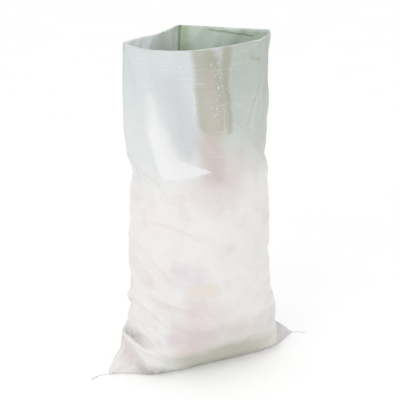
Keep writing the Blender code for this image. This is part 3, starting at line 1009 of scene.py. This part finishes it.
def make_thread_ends(finish):
    """The free ends of the sewing thread, which lie on the floor, and the knots in the left one."""
    made = {}
    for name, side, route in (("thread_end_left", -1, LEFT_END), ("thread_end_right", 1, RIGHT_END)):
        line = thread_route(side, route)
        fine = smooth_line(line, 3)
        shape = tube(fine, THREAD_DIAMETER / 2, sides=18, lobes=3, turns=line_length(line) / 0.004)
        piece = add_piece(name + "_yarn", shape, finish)
        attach(piece, "root")
        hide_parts(name)
        made[name] = (piece, line)
    left_line = made["thread_end_left"][1]
    half_way, end = left_line[len(left_line) * 5 // 8], left_line[-1]
    floor = Vector((0, 0, -1))
    knots = joined(
        [
            knot(Vector((half_way.x, half_way.y, 0.0003)), 0.0042, 0.4),
            knot(Vector((end.x, end.y, 0.0003)), 0.0050, 1.9),
        ]
    )
    knot_piece = add_piece("thread_knots", knots, finish)
    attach(knot_piece, "root")
    ends = (("thread_end_left", "knot", [knot_piece]), ("thread_end_right", "bare", []))
    for name, far_end, extras in ends:
        piece, line = made[name]


def make_seam_stitches(cloth, finish):
    """The run of stitches along the bottom seam, through both layers."""
    points, normals = cloth.points, cloth.normals()
    row = 1
    wide = points.shape[2]
    stitches = []
    for k in range(1, wide // 2 - 1, 2):
        for column in (k, wide - k):
            step = 1 if column == k else -1
            start = Vector(points[:, row, column])
            end = Vector(points[:, row, (column + step) % wide])
            out = Vector(normals[:, row, column]).normalized()
            if out.z < -0.5:
                level = out.y if abs(out.y) > 1e-3 else -1.0
                out = Vector((0.0, level, 0.0)).normalized()
            line = []
            for share, lift in ((0.0, -0.2), (0.12, 0.5), (0.5, 0.75), (0.88, 0.5), (1.0, -0.2)):
                point = start.lerp(end, share) + out * lift * THREAD_DIAMETER * 0.6
                point.z = max(point.z, THREAD_DIAMETER * 0.3)
                line.append(point)
            stitches.append(tube(line, THREAD_DIAMETER * 0.3, sides=6))
    piece = add_piece("seam_stitches", joined(stitches), finish)
    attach(piece, "root")
    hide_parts("seam_thread")


def cloth_outline(cloth, height, inset):
    """The outline of the cloth at a height, moved in a little."""
    points = cloth.points
    above = points[2] > height
    row = np.argmax(above, axis=0)
    column = np.arange(points.shape[2])
    low, high = points[:, row - 1, column], points[:, row, column]
    share = (height - low[2]) / np.maximum(high[2] - low[2], 1e-9)
    plan = (low + (high - low) * share)[:2]
    middle = np.array([[HEAP_X], [0.0]])
    reach = np.hypot(*(plan - middle))
    return middle + (plan - middle) * (reach - inset) / reach


def heap_height(x, y):
    """How high the loose rubble lies, over the plan."""
    wave = noise.fractal(Vector((x * 22, y * 22, 3.1)), 1.0, 2.1, 5)
    grit = noise.fractal(Vector((x * 95, y * 95, 7.7)), 0.8, 2.1, 4)
    from_middle = (x - HEAP_X) ** 2 + y**2
    return FILL_HEIGHT + 0.016 - 0.55 * from_middle + 0.006 * wave + 0.0022 * grit


def make_rubble_bed(cloth, finish):
    """The body of the fill: hidden sides inside the cloth, and a rough heap of dust and grit on top."""
    outlines = [cloth_outline(cloth, height, 0.004) for height in EDGE_HEIGHTS]
    narrowest = np.argmin([np.hypot(x - HEAP_X, y) for x, y in outlines], axis=0)
    edge = np.choose(narrowest, outlines)
    turn = np.arctan2(edge[1], edge[0] - HEAP_X)
    rings = []
    for height in (0.004, 0.012, 0.025, 0.040, 0.065, 0.090, 0.130, 0.170, 0.200, 0.300, 0.430, 0.480):
        shift = np.interp(height, RUBBLE[:, 0], RUBBLE[:, 3])
        side = rubble_side(shift + np.cos(turn), np.sin(turn), height)[2] - 0.005
        plan = np.stack([shift + side * np.cos(turn), side * np.sin(turn)])
        rings.append([Vector((x, y, height)) for x, y in plan.T])
    for shrink in np.linspace(1.0, 0.02, 60):
        rings.append([Vector((HEAP_X + (x - HEAP_X) * shrink, y * shrink, 0.0)) for x, y in edge.T])
        for point in rings[-1]:
            point.z = heap_height(point.x, point.y)
    piece = add_piece("rubble_bed", lofted(rings), finish)
    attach(piece, "root")
    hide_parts("rubble_core")


def make_broken_pieces(finishes):
    """Bricks and lumps from their solids, with worn edges, chips and rough breaks."""
    kinds = {
        "brick": ("half_brick", "brick_bat", "brick_end", "split_brick"),
        "mortar": ("mortar_lump", "flat_mortar_lump", "small_mortar_lump", "render_lump"),
        "concrete": ("concrete_lump",),
    }
    for kind, nodes in kinds.items():
        for node in nodes:
            shape = bmesh.new()
            shape.from_mesh(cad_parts[node].data)
            bmesh.ops.remove_doubles(shape, verts=shape.verts, dist=1e-6)
            bmesh.ops.dissolve_limit(shape, angle_limit=math.radians(1), verts=shape.verts, edges=shape.edges)
            offset = 0.0016 if kind == "brick" else 0.003
            bmesh.ops.bevel(
                shape,
                geom=list(shape.edges),
                offset=offset,
                segments=2,
                profile=0.5,
                affect="EDGES",
                material=-1,
                clamp_overlap=True,
            )
            bmesh.ops.triangulate(shape, faces=shape.faces)
            for _ in range(5):
                long_edges = [edge for edge in shape.edges if edge.calc_length() > 0.0035]
                if not long_edges:
                    break
                bmesh.ops.subdivide_edges(shape, edges=long_edges, cuts=1)
                bmesh.ops.triangulate(shape, faces=shape.faces)
            shape.normal_update()
            moves = {}
            seed = Vector((sum(map(ord, node)) * 0.37, 0.0, 0.0))
            for vert in shape.verts:
                rough = noise.fractal(vert.co * 70 + seed, 0.9, 2.1, 5)
                chips = max(0.0, noise.fractal(vert.co * 34 - seed, 1.0, 2.0, 3) - 0.35)
                moves[vert] = vert.normal * (0.0009 * rough - 0.0100 * chips**1.2)
            for vert, move in moves.items():
                vert.co += move
            piece = add_piece(node + "_rough", shape, finishes[kind])
            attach(piece, "root")
            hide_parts(node)


def make_crumbs(cloth, finishes):
    """Small fragments scattered on the heap, each the hull of a few points."""
    draw = random.Random(12)
    edge = cloth_outline(cloth, FILL_HEIGHT, 0.014)
    for kind, count in (("brick", 130), ("mortar", 150), ("concrete", 50)):
        crumbs = []
        for _ in range(count):
            column, share = draw.randrange(edge.shape[1]), math.sqrt(draw.random())
            x = HEAP_X + (edge[0, column] - HEAP_X) * share
            y = edge[1, column] * share
            size = 0.0035 + 0.011 * draw.random() ** 2.5
            shape = bmesh.new()
            bmesh.ops.create_icosphere(shape, subdivisions=1, radius=size)
            for vert in shape.verts:
                vert.co *= draw.uniform(0.55, 1.1)
                vert.co.z *= 0.7
            hull = bmesh.ops.convex_hull(shape, input=shape.verts)
            spare = [piece for piece in hull["geom_interior"] if isinstance(piece, bmesh.types.BMVert)]
            bmesh.ops.delete(shape, geom=spare, context="VERTS")
            spin = Euler([draw.uniform(-0.5, 0.5), draw.uniform(-0.5, 0.5), draw.uniform(0, 6.28)])
            centre = Vector((x, y, heap_height(x, y) + size * 0.35))
            matrix = Matrix.Translation(centre) @ spin.to_matrix().to_4x4()
            bmesh.ops.transform(shape, matrix=matrix, verts=shape.verts)
            crumbs.append(shape)
        piece = add_piece(kind + "_crumbs", joined(crumbs), finishes[kind], smooth=False)
        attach(piece, "root")


# Camera, floor and light


def make_camera():
    """The photograph's view: from the front left and above."""
    turn, tilt, distance, height, middle = math.radians(-26.8), math.radians(18.63), 2.61, 1.313, -0.0232
    lens = bpy.data.cameras.new("camera")
    lens.lens = 98.0
    lens.shift_x = 0.00875
    camera = bpy.data.objects.new("camera", lens)
    camera.location = (middle + math.sin(turn) * distance, -math.cos(turn) * distance, height)
    camera.rotation_euler = (math.pi / 2 - tilt, 0.0, turn)
    bpy.context.scene.collection.objects.link(camera)
    bpy.context.scene.camera = camera


def make_floor():
    shape = bmesh.new()
    bmesh.ops.create_grid(shape, x_segments=4, y_segments=4, size=30.0)
    add_piece("floor", shape, floor_surface(), smooth=False)


def make_light():
    """A bright white room with one large soft lamp at the upper left."""
    world = bpy.data.worlds.new("room")
    world.use_nodes = True
    world.node_tree.nodes["Background"].inputs["Color"].default_value = (1.0, 1.0, 1.0, 1.0)
    world.node_tree.nodes["Background"].inputs["Strength"].default_value = 0.93
    bpy.context.scene.world = world
    lamp = bpy.data.lights.new("soft lamp", "AREA")
    lamp.shape = "RECTANGLE"
    lamp.size = 1.4
    lamp.size_y = 1.4
    lamp.energy = 12.0
    placed = bpy.data.objects.new("soft lamp", lamp)
    placed.location = (-2.2, -1.5, 2.0)
    placed.rotation_euler = (Vector((0.0, 0.0, 0.45)) - placed.location).to_track_quat("-Z", "Y").to_euler()
    bpy.context.scene.collection.objects.link(placed)
    bpy.context.scene.view_settings.view_transform = "Standard"


def main():
    make_camera()
    thread = thread_surface()
    make_thread_ends(thread)
    make_floor()
    make_light()
    finishes = {name: broken_surface(name, *look) for name, look in RUBBLE_LOOKS.items()}
    dust = finishes["rubble_dust"]
    cloth = simulated_cloth()
    sack = make_cloth(cloth)
    make_seam_stitches(cloth, thread)
    make_rubble_bed(cloth, dust)
    make_broken_pieces(finishes)
    make_crumbs(cloth, finishes)


main()
